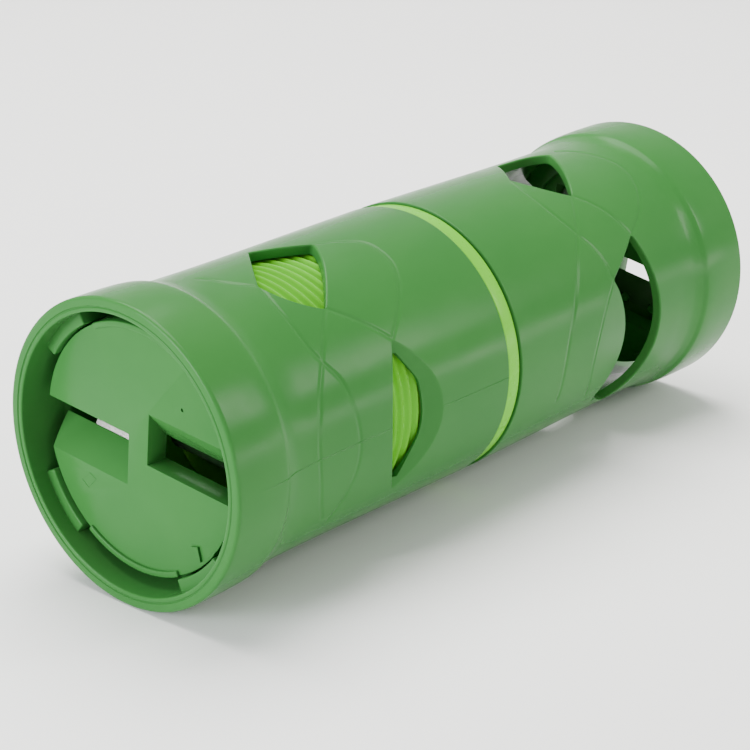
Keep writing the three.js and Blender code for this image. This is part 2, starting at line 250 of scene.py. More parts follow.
# Studio, in metres and degrees. Lights are name, place, aim, (width, height), power in watts and colour.
SURROUND = 0.68
LIGHTS = (
    ("top", (0.1, 0.25, 0.9), (0, 0, 0.03), (0.8, 0.8), 23, (1.0, 0.99, 0.96)),
    ("left", (-0.85, 0.28, 0.2), (-0.08, 0, 0.03), (0.45, 0.4), 12, (0.95, 1.0, 1.03)),
    ("low", (0.15, -0.55, 0.02), (0.02, 0, 0.01), (0.9, 0.05), 1.9, (1.0, 0.99, 0.92)),
    ("softbox", (0.52, -0.59, 0.42), (-0.07, -0.02, 0.04), (0.12, 0.3), 2.4, (1.0, 0.99, 0.93)),
)
FLOOR_REACH = 1.6
FLOOR_FLAT = 0.9
FLOOR_BEND = 0.5
FLOOR_RISE = 1.2
FLOOR_HALF_WIDTH = 2.4
FLOOR_TURN = 41
VIEW_AZIMUTH = 41.07
VIEW_DOWN = 21.335
CAMERA_PLACE = (-0.32971, -0.27871, 0.19098)
CAMERA_LENS = 107.4
CAMERA_SENSOR = 36


# ---- Mesh helpers ----------------------------------------------------------------------------------------

def scene_object(name, mesh):
    """A new object in the scene."""
    obj = bpy.data.objects.new(name, mesh)
    bpy.context.scene.collection.objects.link(obj)
    return obj


def inside_out(points, faces):
    """Whether a closed body's faces are turned inwards."""
    corners = np.array([(f[0], f[j], f[j + 1]) for f in faces for j in range(1, len(f) - 1)])
    one, two, three = (points[corners[:, k]] for k in range(3))
    return np.einsum("ij,ij->", one, np.cross(two, three)) < 0


def solid(name, points, faces):
    """A closed body from points in barrel millimetres (x, y, z about the axis), its faces turned outwards."""
    points = np.asarray(points, float)
    if inside_out(points, faces):
        faces = [tuple(reversed(f)) for f in faces]
    placed = (points + np.array((0, 0, AXIS_HEIGHT))) * MM
    mesh = bpy.data.meshes.new(name)
    mesh.from_pydata(placed.tolist(), [], faces)
    mesh.update()
    return scene_object(name, mesh)


def tube_faces(rings, columns):
    """Faces of a body made of rings of points, closed at both ends."""
    ends = [range(columns - 1, -1, -1), range((rings - 1) * columns, rings * columns)]
    return grid_faces(rings, columns) + [tuple(end) for end in ends]


def grid_faces(rows, columns, wrap_rows=False, wrap_columns=True):
    """Four-cornered faces over a grid of points, which may close on itself either way."""
    row_count = rows if wrap_rows else rows - 1
    column_count = columns if wrap_columns else columns - 1
    i, j = np.meshgrid(np.arange(row_count), np.arange(column_count), indexing="ij")
    i, j = i.ravel(), j.ravel()
    k, m = (i + 1) % rows, (j + 1) % columns
    return np.stack([i * columns + j, i * columns + m, k * columns + m, k * columns + j], 1).tolist()


def polar(x, r, angles):
    """Points at depth-direction x and radius r (rows by columns), with one angle for each column."""
    a = np.radians(angles)
    shape = np.broadcast(x, r).shape
    x = np.broadcast_to(x, shape)
    return np.stack([x, r * np.cos(a), r * np.sin(a)], -1).reshape(-1, 3)


def ring_body(name, profile, columns):
    """A closed ring turned about the axis from (x, radius) points."""
    angles = np.arange(columns) * 360.0 / columns
    x = np.array([p[0] for p in profile])[:, None]
    r = np.array([p[1] for p in profile])[:, None] * np.ones(columns)
    return solid(name, polar(x, r, angles), grid_faces(len(profile), columns, wrap_rows=True))


def rounded(profile, radius, steps):
    """The closed (x, radius) polygon with its corners rounded by one radius, or by one for each corner."""
    out = []
    count = len(profile)
    radii = [radius] * count if np.isscalar(radius) else radius
    for i, corner in enumerate(profile):
        before, here, after = (np.array(profile[k % count], float) for k in (i - 1, i, i + 1))
        one, two = before - here, after - here
        reach = min(radii[i], 0.45 * np.linalg.norm(one), 0.45 * np.linalg.norm(two))
        if reach < 1e-6:
            out.append(tuple(corner))
            continue
        start = here + one / np.linalg.norm(one) * reach
        end = here + two / np.linalg.norm(two) * reach
        for t in np.linspace(0, 1, steps + 1):
            out.append(tuple((1 - t) ** 2 * start + 2 * t * (1 - t) * here + t ** 2 * end))
    return out


def loft(name, start, end):
    """A closed body between two outlines that have as many points as each other."""
    count = len(start)
    faces = [tuple(range(count)), tuple(range(2 * count - 1, count - 1, -1))]
    faces += [(i, i + count, (i + 1) % count + count, (i + 1) % count) for i in range(count)]
    return solid(name, list(start) + list(end), faces)


def prism(name, outline, start, end):
    """Extrudes a (y, z) outline along the axis from one x to another."""
    return loft(name, *([(x, y, z) for y, z in outline] for x in (start, end)))


def sector(inner, outer, centre, span, steps=12):
    """The (y, z) outline of a stretch of a ring."""
    angles = np.radians(np.linspace(centre - span / 2, centre + span / 2, steps + 1))
    ring = [(outer * math.cos(a), outer * math.sin(a)) for a in angles]
    return ring + [(inner * math.cos(a), inner * math.sin(a)) for a in reversed(angles)]


def baked(obj):
    """Replaces the object's mesh by what its modifiers make of it."""
    graph = bpy.context.evaluated_depsgraph_get()
    mesh = bpy.data.meshes.new_from_object(obj.evaluated_get(graph))
    obj.modifiers.clear()
    obj.data = mesh
    return obj


def merged_with(obj, tools, operation):
    """Joins, cuts or crosses obj with each tool in turn, and removes the tools."""
    for tool in tools:
        change = obj.modifiers.new(tool.name, "BOOLEAN")
        change.operation = operation
        change.solver = "MANIFOLD"
        change.object = tool
    baked(obj)
    for tool in tools:
        bpy.data.objects.remove(tool)
    return obj


def combine(obj, tools, operation):
    """Joins, cuts or crosses obj with all the tools at once."""
    if len(tools) > 1:
        merged_with(tools[0], tools[1:], "UNION")
    return merged_with(obj, tools[:1], operation)


def bevelled(obj, width):
    """Rounds the sharp edges of a low body."""
    change = obj.modifiers.new("bevel", "BEVEL")
    change.width = width * MM
    change.segments = 3
    change.limit_method = "ANGLE"
    change.angle_limit = math.radians(30)
    change.harden_normals = False
    return baked(obj)


def merged_flats(obj):
    """Joins coplanar faces again after a boolean, so that a bevel finds clean edges."""
    change = obj.modifiers.new("flats", "DECIMATE")
    change.decimate_type = "DISSOLVE"
    change.angle_limit = math.radians(1)
    return baked(obj)


def smooth_shaded(obj, angle):
    """Smooth shading, with an edge kept sharp where its faces meet at more than the angle."""
    mesh = obj.data
    mesh.polygons.foreach_set("use_smooth", [True] * len(mesh.polygons))
    mesh.set_sharp_from_angle(angle=math.radians(angle))
    mesh.update()
    return obj


def half_turned(obj):
    """A copy of obj turned half a turn about the barrel's axis."""
    other = obj.copy()
    other.data = obj.data.copy()
    other.name = obj.name + "_turned"
    bpy.context.scene.collection.objects.link(other)
    turn(other, 180)
    return other


def turn(obj, degrees):
    """Turns obj about the barrel's axis."""
    centre = Vector((0, 0, AXIS_HEIGHT * MM))
    rotation = Matrix.Rotation(math.radians(degrees), 4, "X")
    obj.data.transform(Matrix.Translation(centre) @ rotation @ Matrix.Translation(-centre))
    return obj


def mirrored(obj):
    """Mirrors obj from the front end to the rear end."""
    obj.data.transform(Matrix.Scale(-1, 4, (1, 0, 0)))
    obj.data.flip_normals()
    return obj


def place(obj, body, slot, material, *nodes):
    """The finished piece stands for its CAD nodes and moves with their body."""
    obj.data.materials.clear()
    obj.data.materials.append(material)
    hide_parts(*nodes)
    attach(obj, body)
    return obj


# ---- Materials -------------------------------------------------------------------------------------------

# The part of a noise texture's 0 to 1 in which nearly all of its values lie.
NOISE_RANGE = (0.3, 0.7)


def new_material(name):
    """An empty material with its nodes, its links and its shader."""
    material = bpy.data.materials.new(name)
    material.use_nodes = True
    nodes, links = material.node_tree.nodes, material.node_tree.links
    return material, nodes, links, nodes["Principled BSDF"]


def noise(nodes, links, scale, detail=3.0, roughness=0.5, stretch=(1, 1, 1)):
    """A noise texture in object space, with scale in cells per metre."""
    place_node = nodes.new("ShaderNodeTexCoord")
    mapping = nodes.new("ShaderNodeMapping")
    mapping.inputs["Scale"].default_value = stretch
    texture = nodes.new("ShaderNodeTexNoise")
    texture.inputs["Scale"].default_value = scale
    texture.inputs["Detail"].default_value = detail
    texture.inputs["Roughness"].default_value = roughness
    links.new(place_node.outputs["Object"], mapping.inputs["Vector"])
    links.new(mapping.outputs["Vector"], texture.inputs["Vector"])
    return texture.outputs["Fac"]


def ramp(nodes, links, source, dark, light):
    """A colour between dark and light, from where the noise is low to where it is high."""
    node = nodes.new("ShaderNodeValToRGB")
    for element, position, colour in zip(node.color_ramp.elements, NOISE_RANGE, (dark, light)):
        element.position = position
        element.color = (*colour, 1)
    links.new(source, node.inputs["Fac"])
    return node.outputs["Color"]


def spread(nodes, links, source, low, high):
    """A value between low and high, from where the noise is low to where it is high."""
    node = nodes.new("ShaderNodeMapRange")
    node.inputs["From Min"].default_value = NOISE_RANGE[0]
    node.inputs["From Max"].default_value = NOISE_RANGE[1]
    node.inputs["To Min"].default_value = low
    node.inputs["To Max"].default_value = high
    links.new(source, node.inputs["Value"])
    return node.outputs["Result"]


def bump(nodes, links, height, distance, strength, before=None):
    """A bumped normal, on top of another one where before is given."""
    node = nodes.new("ShaderNodeBump")
    node.inputs["Distance"].default_value = distance
    node.inputs["Strength"].default_value = strength
    links.new(height, node.inputs["Height"])
    if before is not None:
        links.new(before, node.inputs["Normal"])
    return node.outputs["Normal"]


def moulded_plastic(name, dark, light, rough_low, rough_high, index):
    """Moulded plastic: slight flow marks in the colour, uneven gloss and a very fine surface grain."""
    material, nodes, links, shader = new_material(name)
    flow = noise(nodes, links, 45, 4, 0.55, (0.5, 1, 1))
    links.new(ramp(nodes, links, flow, dark, light), shader.inputs["Base Color"])
    patches = noise(nodes, links, 160, 5, 0.6)
    links.new(spread(nodes, links, patches, rough_low, rough_high), shader.inputs["Roughness"])
    waves = bump(nodes, links, noise(nodes, links, 60, 2), 0.0004, 0.12)
    grain = bump(nodes, links, noise(nodes, links, 1500, 2, 0.5), 0.00004, 0.16, waves)
    links.new(grain, shader.inputs["Normal"])
    shader.inputs["IOR"].default_value = index
    return material


def ground_steel(name):
    """Ground stainless steel with fine grinding marks across the edge."""
    material, nodes, links, shader = new_material(name)
    marks = noise(nodes, links, 900, 3, 0.7, (1, 6, 0.4))
    colour = ramp(nodes, links, marks, (0.46, 0.45, 0.42), (0.60, 0.59, 0.55))
    links.new(colour, shader.inputs["Base Color"])
    links.new(spread(nodes, links, marks, 0.14, 0.22), shader.inputs["Roughness"])
    links.new(bump(nodes, links, marks, 0.00003, 0.25), shader.inputs["Normal"])
    shader.inputs["Metallic"].default_value = 1.0
    return material


def floor_paint(name):
    """Matt white studio floor with a faint unevenness."""
    material, nodes, links, shader = new_material(name)
    cloud = noise(nodes, links, 3, 3)
    colour = ramp(nodes, links, cloud, (0.86, 0.86, 0.855), (0.89, 0.89, 0.885))
    links.new(colour, shader.inputs["Base Color"])
    links.new(spread(nodes, links, cloud, 0.6, 0.75), shader.inputs["Roughness"])
    return material


GREEN = moulded_plastic("green_plastic", (0.027, 0.133, 0.027), (0.033, 0.147, 0.031), 0.2, 0.27, 1.17)
LIGHT_GREEN = moulded_plastic("light_green_plastic", (0.100, 0.41, 0.016), (0.120, 0.45, 0.022), 0.24, 0.32,
                              1.2)
STEEL = ground_steel("blade_steel")


# ---- Barrel halves ---------------------------------------------------------------------------------------

def smooth_curve(knots, x):
    """A monotone curve through (x, y) knots, with no overshoot."""
    kx, ky = (np.array(v, float) for v in zip(*knots))
    step = np.diff(kx)
    slope = np.diff(ky) / step
    tangent = np.zeros(len(kx))
    for i in range(1, len(kx) - 1):
        if slope[i - 1] * slope[i] > 0:
            tangent[i] = 2 / (1 / slope[i - 1] + 1 / slope[i])
    tangent[-1] = slope[-1]
    i = np.clip(np.searchsorted(kx, x, side="right") - 1, 0, len(step) - 1)
    t = (x - kx[i]) / step[i]
    return (ky[i] * (1 + 2 * t) * (1 - t) ** 2 + step[i] * tangent[i] * t * (1 - t) ** 2
            + ky[i + 1] * t ** 2 * (3 - 2 * t) + step[i] * tangent[i + 1] * t ** 2 * (t - 1))


def skin_radius(depth):
    """The outer skin's radius at each depth."""
    return smooth_curve(SKIN, np.clip(depth, 0, SKIN[-1][0]))


def spline(points, spacing=0.15):
    """Evenly spaced points along a smooth curve through (depth, angle) points."""
    p = np.array(points, float)
    p = np.vstack([2 * p[0] - p[1], p, 2 * p[-1] - p[-2]])
    pieces = []
    for i in range(1, len(p) - 2):
        t = np.linspace(0, 1, 60, endpoint=False)[:, None]
        a, b, c, d = p[i - 1], p[i], p[i + 1], p[i + 2]
        pieces.append(0.5 * (2 * b + (c - a) * t + (2 * a - 5 * b + 4 * c - d) * t ** 2
                             + (3 * b - a - 3 * c + d) * t ** 3))
    pieces.append(p[-2][None])
    line = np.vstack(pieces)
    arc = np.radians(line[:, 1]) * skin_radius(line[:, 0])
    length = np.concatenate([[0], np.cumsum(np.hypot(np.diff(line[:, 0]), np.diff(arc)))])
    even = np.arange(0, length[-1], spacing)
    return np.stack([np.interp(even, length, line[:, k]) for k in (0, 1)], 1)


def engraving(depths, angles, veins):
    """How deep the vein lines lie below the skin at each grid point."""
    nearest = np.full((len(depths), len(angles)), 9.0)
    line = np.vstack([spline(vein) for vein in veins])
    for depth, angle in np.vstack([line, line + (0, 180)]):
        rows = np.nonzero(np.abs(depths - depth) < GROOVE_REACH)[0]
        across = np.radians((angles - angle + 180) % 360 - 180) * skin_radius(depth)
        columns = np.nonzero(np.abs(across) < GROOVE_REACH)[0]
        part = np.ix_(rows, columns)
        far = np.hypot((depths[rows] - depth)[:, None], across[columns][None])
        nearest[part] = np.minimum(nearest[part], far)
    return GROOVE_DEPTH * np.exp(-(nearest / GROOVE_WIDTH) ** 2)


def seam_ridge(angles, seams):
    """How far the mould seams stand above the skin at each angle."""
    ridge = np.zeros(len(angles))
    for seam in seams:
        away = np.abs((angles - seam + 180) % 360 - 180)
        ridge = np.maximum(ridge, SEAM_HEIGHT * np.exp(-(away / SEAM_WIDTH) ** 2))
    return ridge


def shell_angles(seams):
    """The mesh's angles, with more of them at the seams."""
    even = np.arange(0, 360, ANGLE_STEP)
    offsets = np.array((-0.35, -0.2, -0.1, 0.1, 0.2, 0.35))
    return np.sort(np.concatenate([even] + [(seam + offsets) % 360 for seam in seams]))


def rim_lip():
    """From the bottom of the rim's fine line to the start of the skin."""
    corner = rounded([RIM_LINE[0], (0.0, RIM_RADIUS), (3.0, RIM_RADIUS)], (0, RIM_ROUNDING, 0), 6)
    return [RIM_LINE[1]] + corner[:-1]


def inner_wall(length):
    """From the skin's end through the ring's socket and the bore back to the rim's fine line."""
    edge = RIM_LINE[3][0]
    corners = [
        (length, skin_radius(length)), (length, SOCKET), (length - SOCKET_DEPTH, SOCKET),
        (length - SOCKET_DEPTH, BORE), (RIM_BORE_END + 0.5, BORE), (RIM_BORE_END - 0.5, RIM_BORE),
        (edge, RIM_BORE), RIM_LINE[3], RIM_LINE[2],
    ]
    return rounded(corners, (0.25, 0.2, 0.2, 0.2, 0.3, 0.3, 0.45, 0.15, 0), 3)


def shell(name, length, veins, seams):
    """The tube of one half: outer skin with its veins, rounded rim, socket for the ring and bore."""
    angles = shell_angles(seams)
    depths = np.arange(FIRST_DEPTH, length - DEPTH_STEP, DEPTH_STEP)
    fade = np.clip((depths - SEAM_FADE[0]) / (SEAM_FADE[1] - SEAM_FADE[0]), 0, 1)
    seam = seam_ridge(angles, seams)[None] * fade[:, None]
    skin = np.minimum(skin_radius(depths)[:, None] - engraving(depths, angles, veins) + seam, RIM_RADIUS)
    lip, wall = np.array(rim_lip()), np.array(inner_wall(length))
    x = np.concatenate([lip[:, 0], depths, wall[:, 0]])[:, None] - HALF
    round_the_axis = np.ones(len(angles))
    r = np.vstack([lip[:, 1:] * round_the_axis, skin, wall[:, 1:] * round_the_axis])
    return solid(name, polar(x, r, angles), grid_faces(len(x), len(angles), wrap_rows=True))


def bent_edge(start, bend, end):
    """Points from start up to end, on a straight line or on a curve that bends towards the point given."""
    t = np.linspace(0, 1, 80, endpoint=False)[:, None]
    if bend is None:
        return start + (end - start) * t
    return (1 - t) ** 2 * start + 2 * t * (1 - t) * bend + t ** 2 * end


def flat_outline(edges, centre, spacing=0.25, soften=0.5):
    """A window's outline as (depth, distance across), evenly spaced, with its corners slightly rounded."""
    def flat(point):
        return np.array((point[0], WAIST * math.sin(math.radians(point[1] - centre))))

    corners = [flat(to) for to, bend in edges]
    bends = [flat(bend) if bend else None for to, bend in edges]
    line = np.vstack([bent_edge(corners[i - 1], bends[i], corners[i]) for i in range(len(edges))])
    closed = np.vstack([line, line[:1]])
    length = np.concatenate([[0], np.cumsum(np.linalg.norm(np.diff(closed, axis=0), axis=1))])
    count = int(length[-1] / spacing)
    even = np.arange(count) * length[-1] / count
    line = np.stack([np.interp(even, length, closed[:, k]) for k in (0, 1)], 1)
    reach = int(round(soften / spacing))
    return sum(np.roll(line, k, 0) for k in range(-reach, reach + 1)) / (2 * reach + 1)


def outward_directions(line):
    """The direction out of a closed flat outline at each of its points."""
    after, before = np.roll(line, -1, 0), np.roll(line, 1, 0)
    along = after - before
    along /= np.linalg.norm(along, axis=1)[:, None]
    outward = np.stack([along[:, 1], -along[:, 0]], 1)
    area = np.sum(line[:, 0] * after[:, 1] - after[:, 0] * line[:, 1])
    return outward if area > 0 else -outward


def window_ring(ring, up, centre):
    """Places (depth, distance across) points at heights above the axis, towards the centre angle."""
    a = math.radians(centre)
    y = up * math.cos(a) - ring[:, 1] * math.sin(a)
    z = up * math.sin(a) + ring[:, 1] * math.cos(a)
    return np.stack([ring[:, 0] - HALF, y, z], 1)


def window_cutter(name, window):
    """A window's cutter: straight walls along one direction, flared where it meets the skin."""
    centre, edges = window
    line = flat_outline(edges, centre)
    outward = outward_directions(line)
    rings = [window_ring(line, WINDOW_CUT_START, centre)]
    for angle in np.linspace(0, 1, 6) * math.pi / 2:
        ring = line + outward * FLARE * (1 - math.cos(angle))
        skin = np.sqrt(skin_radius(ring[:, 0]) ** 2 - ring[:, 1] ** 2)
        height = skin - FLARE * (1 - math.sin(angle)) + WINDOW_OVERSHOOT
        rings.append(window_ring(ring, height, centre))
    rings.append(window_ring(line + outward * FLARE, WINDOW_CUT_END, centre))
    return solid(name, np.vstack(rings), tube_faces(len(rings), len(line)))


def over_surface(name, depths, angles, radius, top=36.0):
    """A body that reaches from a surface (rows by columns of radius) out to a wide cylinder."""
    depths = np.broadcast_to(depths, radius.shape)
    rows, columns = radius.shape
    low = polar(depths - HALF, radius, angles)
    high = polar(depths - HALF, np.full(radius.shape, top), angles)
    base = np.array(grid_faces(rows, columns, wrap_columns=False))
    faces = base[:, ::-1].tolist() + (base + rows * columns).tolist()
    edge = [i * columns for i in range(rows)]
    edge += [(rows - 1) * columns + j for j in range(1, columns)]
    edge += [i * columns + columns - 1 for i in range(rows - 2, -1, -1)]
    edge += [j for j in range(columns - 2, 0, -1)]
    count = rows * columns
    for k, a in enumerate(edge):
        b = edge[(k + 1) % len(edge)]
        faces.append((b, a, a + count, b + count))
    return solid(name, np.vstack([low, high]), [tuple(f) for f in faces])


def soft_min(a, b, radius):
    """The smaller of two heights, with the corner between them rounded."""
    h = np.maximum(radius - np.abs(a - b), 0) / radius
    return np.minimum(a, b) - h * h * radius / 4


def front_leaf_scoop():
    """A slope down to the bore, which is nowhere cut through."""
    depths = np.arange(LEAF_DEPTHS[0], LEAF_DEPTHS[1] + 0.01, 0.25)[:, None]
    angles = np.arange(LEAF_ANGLES[0], LEAF_ANGLES[1] + 0.01, ANGLE_STEP)
    height = LEAF_SURFACE - LEAF_SLOPE * (LEAF_TOP - depths)
    slope = height / np.cos(np.radians(angles - FRONT_LEAF[0]))[None]
    surface = soft_min(skin_radius(depths) + LEAF_CLEARANCE + 0 * slope, slope, LEAF_CORNER)
    return over_surface("scoop", depths, angles, np.maximum(surface, LEAF_FLOOR))


def front_leaf_mouth():
    """The straight-walled hole at the foot of the slope, cut towards -Y."""
    wide = np.vstack([LEAF_MOUTH_BACK[:1], spline(LEAF_MOUTH, 0.5), LEAF_MOUTH_BACK[1:]])
    outline = [(d, WAIST * math.sin(math.radians(a - 180))) for d, a in wide]
    heights = (WINDOW_CUT_START, WINDOW_CUT_END)
    return loft("mouth", *([(d - HALF, -h, -w) for d, w in outline] for h in heights))


def front_leaf_cutter():
    """The scoop and its mouth, as far as they lie inside the leaf's outline."""
    scoop = combine(front_leaf_scoop(), [front_leaf_mouth()], "UNION")
    return combine(window_cutter("front_leaf", FRONT_LEAF), [scoop], "INTERSECT")


def rear_leaf_dish():
    """The shallow dish beside the rear leaf window, from its crease to the window's edge."""
    angles = np.arange(DISH_ANGLES[0], DISH_ANGLES[1] + 0.01, ANGLE_STEP)
    aside = ((angles - DISH_MIDDLE) / DISH_HALF_WIDTH) ** 2
    crease, mouth = (depth + bend * aside for depth, bend in (DISH_CREASE, DISH_MOUTH))
    rows = np.linspace(0, 1, 60)[:, None]
    first, last = mouth - DISH_OVERLAP[0], crease + DISH_OVERLAP[1]
    depths = first[None] + rows * (last - first)[None]
    skin = skin_radius(depths)
    surface = soft_min(skin + DISH_CLEARANCE, skin - DISH_SLOPE * (crease[None] - depths), DISH_CORNER)
    return over_surface("dish", depths, angles, surface)


def lug(name, angle, bore, start):
    """A block on the rim's inner wall that ends where the ledges end."""
    block = prism(name, sector(bore, LUG_ROOT, angle, LUG_SPAN), start - HALF, LEDGE_END - HALF)
    return bevelled(block, LUG_ROUNDING)


def lugs_and_ledges():
    """Four lugs that hold the cutter disc, and four ledges that it rests on."""
    sizes = (("lug", LUG_BORE, LUG_DEPTH), ("ledge", LEDGE_BORE, LEDGE_DEPTH))
    return [lug(name, angle, bore, start) for name, bore, start in sizes for angle in LUG_ANGLES]


def key_bars():
    """The two long keys on the rear half's wall."""
    span = math.degrees(KEY_WIDTH / SCREW_CREST)
    outlines = [sector(KEY_CREST, KEY_ROOT, angle, span, 3) for angle in KEY_ANGLES]
    return [prism("key", outline, KEY_START - HALF, KEY_END - HALF) for outline in outlines]


def barrel_half(name, length, veins, seams, windows, leaf_cutters, joined):
    """One half with its windows, each cut again half a turn round."""
    body = shell(name, length, veins, seams)
    combine(body, joined, "UNION")
    cutters = [window_cutter("window", w) for w in windows] + leaf_cutters
    combine(body, cutters + [half_turned(c) for c in cutters], "DIFFERENCE")
    return smooth_shaded(body, 34)


front_barrel = barrel_half("front_barrel_shell", FRONT_LENGTH, FRONT_VEINS, FRONT_SEAMS, [FRONT_KITE],
                           [front_leaf_cutter()], lugs_and_ledges())
rear_barrel = barrel_half("rear_barrel_shell", REAR_LENGTH, REAR_VEINS, (), [REAR_KITE, REAR_LEAF],
                          [rear_leaf_dish()], lugs_and_ledges() + key_bars())
mirrored(rear_barrel)
place(front_barrel, "front_half", "green_plastic", GREEN, "front_barrel")
place(rear_barrel, "rear_half", "green_plastic", GREEN, "rear_barrel")


# ---- Ring between the halves -----------------------------------------------------------------------------

def mid_ring():
    """The visible ring, with a tongue on each side that snaps into a half by its bead."""
    flange = RING_WIDTH / 2
    reach = flange + TONGUE_GAP + TONGUE_REACH
    bead = TONGUE_OUTER + BEAD_HEIGHT
    bead_end = reach - BEAD_WIDTH / 2
    bead_start = bead_end - BEAD_WIDTH
    side = [(flange, RING_RADIUS), (flange, TONGUE_OUTER), (bead_start, TONGUE_OUTER), (bead_start, bead),
            (bead_end, bead), (bead_end, TONGUE_OUTER), (reach, TONGUE_OUTER), (reach, TONGUE_INNER)]
    rear = [(RING_CENTRE + x, r) for x, r in side]
    front = [(RING_CENTRE - x, r) for x, r in reversed(side)]
    return smooth_shaded(ring_body("middle_ring", rounded(front + rear, RING_ROUNDING, 4), 360), 32)


place(mid_ring(), "rear_half", "light_green_plastic", LIGHT_GREEN, "mid_ring")


# ---- Feed screw ------------------------------------------------------------------------------------------

def screw_quads(rows, columns, per_pitch):
    """Faces of a helical sheet: its last column meets the first one, a pitch further on."""
    sheet = (np.arange(rows - 1)[:, None] * columns + np.arange(columns - 1)[None]).ravel()
    seam = np.arange(rows - 1 - per_pitch)
    last, first = seam * columns + columns - 1, (seam + per_pitch) * columns
    return np.vstack([np.stack([sheet, sheet + 1, sheet + 1 + columns, sheet + columns], 1),
                      np.stack([last, first, first + columns, last + columns], 1)])


def thickened(quads, count):
    """Faces of the closed wall between a sheet and a copy of it whose points come count later."""
    starts, ends = quads.ravel(), np.roll(quads, -1, 1).ravel()
    open_edges = ~np.isin(starts * count + ends, ends * count + starts)
    one, two = starts[open_edges], ends[open_edges]
    rims = np.stack([two, one, one + count, two + count], 1)
    return np.vstack([quads, quads[:, ::-1] + count, rims]).tolist()


def thread_sleeve():
    """A sleeve whose outside is one rounded rib wound round it as a right-handed screw."""
    per_pitch, columns = 10, 240
    first, last = SCREW_START - 2 * SCREW_PITCH, SCREW_END + 2 * SCREW_PITCH
    rows = int((last - first) / SCREW_PITCH * per_pitch)
    row, column = np.arange(rows)[:, None], np.arange(columns)[None]
    x = first + SCREW_PITCH * (row / per_pitch + column / columns) - HALF
    ridge = (0.5 + 0.5 * np.cos(2 * np.pi * row / per_pitch)) ** RIB_SHARPNESS
    outer = SCREW_ROOT + (SCREW_CREST - SCREW_ROOT) * ridge + 0 * column
    angles = column[0] * 360.0 / columns
    points = np.vstack([polar(x, outer, angles), polar(x, np.full(x.shape, SCREW_BORE), angles)])
    faces = thickened(screw_quads(rows, columns, per_pitch), rows * columns)
    return solid("feed_screw_sleeve", points, faces)


def screw_ledge(start, end):
    """A step inside the sleeve that a gripper's plate rests on."""
    root = SCREW_BORE + 0.4
    profile = [(start, SCREW_LEDGE_BORE), (start, root), (end, root), (end, SCREW_LEDGE_BORE)]
    return ring_body("ledge", [(x - HALF, r) for x, r in profile], 240)


def feed_screw():
    """The threaded sleeve, cut to length and grooved for the keys."""
    body = thread_sleeve()
    inside = 20.0
    trim = rounded([(SCREW_START, inside), (SCREW_START, SCREW_CREST), (SCREW_END, SCREW_CREST),
                    (SCREW_END, inside)], (0, SCREW_END_ROUNDING, SCREW_END_ROUNDING, 0), 3)
    combine(body, [ring_body("trim", [(x - HALF, r) for x, r in trim], 240)], "INTERSECT")
    combine(body, [screw_ledge(start, end) for start, end in SCREW_LEDGES], "UNION")
    span = math.degrees((KEY_WIDTH + 2 * GROOVE_GAP) / SCREW_CREST)
    outlines = [sector(GROOVE_FLOOR, SCREW_CREST + 1.5, angle, span, 3) for angle in KEY_ANGLES]
    grooves = [prism("groove", outline, GROOVE_START - HALF, SCREW_END + 1 - HALF) for outline in outlines]
    combine(body, grooves, "DIFFERENCE")
    return smooth_shaded(body, 50)


place(feed_screw(), "feed", "light_green_plastic", LIGHT_GREEN, "feed_screw")


# ---- Cutter discs ----------------------------------------------------------------------------------------

def circle(radius, steps=96, centre=(0, 0)):
    """A round (y, z) outline."""
    angles = np.arange(steps) * 2 * math.pi / steps
    return [(centre[0] + radius * math.cos(a), centre[1] + radius * math.sin(a)) for a in angles]


def chute_cutter():
    """The channel from the outer face down to the throat, open at the disc's edge."""
    slope = (THROAT_FOOT - CHUTE_FOOT) / (DISC_BACK - DISC_FACE)
    before, behind = DISC_FACE - 1, DISC_BACK + 1
    side = [(before, CHUTE_FOOT - slope), (behind, THROAT_FOOT + slope)]
    side += [(behind, CHUTE_WALL), (before, CHUTE_WALL)]
    ends = (CHUTE_START, DISC_RADIUS + 2)
    return loft("chute", *([(x - HALF, y, z) for x, z in side] for y in ends))


def seated(obj):
    """Puts a piece drawn on a blade's seat, with x as the depth below it, into its place."""
    centre = Vector((0, 0, AXIS_HEIGHT)) * MM
    foot = Vector((DISC_BACK - HALF, 0, AXIS_HEIGHT + THROAT_FOOT)) * MM
    slant = Matrix.Rotation(math.radians(SEAT_SLANT), 4, "Y")
    obj.data.transform(Matrix.Translation(foot) @ slant @ Matrix.Translation(-centre))
    return obj


def seat_pocket():
    """Clears everything behind a blade's seat."""
    low, high = BLADE_START - SEAT_CLEARANCE, BLADE_END + SEAT_CLEARANCE
    root = BLADE_ROOT - SEAT_CLEARANCE
    return seated(prism("seat", [(low, root), (high, root), (high, 0), (low, 0)], 0, SEAT_CUT))


def at_front(obj):
    """The front cutter is drawn where it lies, save for its tilt."""
    return turn(obj, FRONT_TILT)


def at_rear(obj):
    """The rear cutter is the front one turned end for end."""
    obj.data.transform(Matrix.Rotation(math.pi, 4, "Z"))
    return turn(obj, REAR_TILT)


def face_marks():
    """Mould marks on the lower part of the outer face: two small slivers and the trace of a square insert."""
    back = DISC_FACE + 0.5 - HALF
    marks = [prism("sliver", outline, DISC_FACE - SLIVER_HEIGHT - HALF, back) for outline in SLIVERS]
    corners = np.array(INSERT_CORNERS)
    inner = corners.mean(0) + (corners - corners.mean(0)) * 0.93
    for k in range(4):
        n = (k + 1) % 4
        side = [tuple(corners[k]), tuple(corners[n]), tuple(inner[n]), tuple(inner[k])]
        marks.append(prism("insert_trace", side, DISC_FACE - INSERT_HEIGHT - HALF, back))
    return marks


def gate_dot():
    """The small pit that the moulding gate left on the outer face."""
    outline = circle(GATE_RADIUS, 20, GATE_PLACE)
    return prism("gate", outline, DISC_FACE - 1 - HALF, DISC_FACE + GATE_DEPTH - HALF)


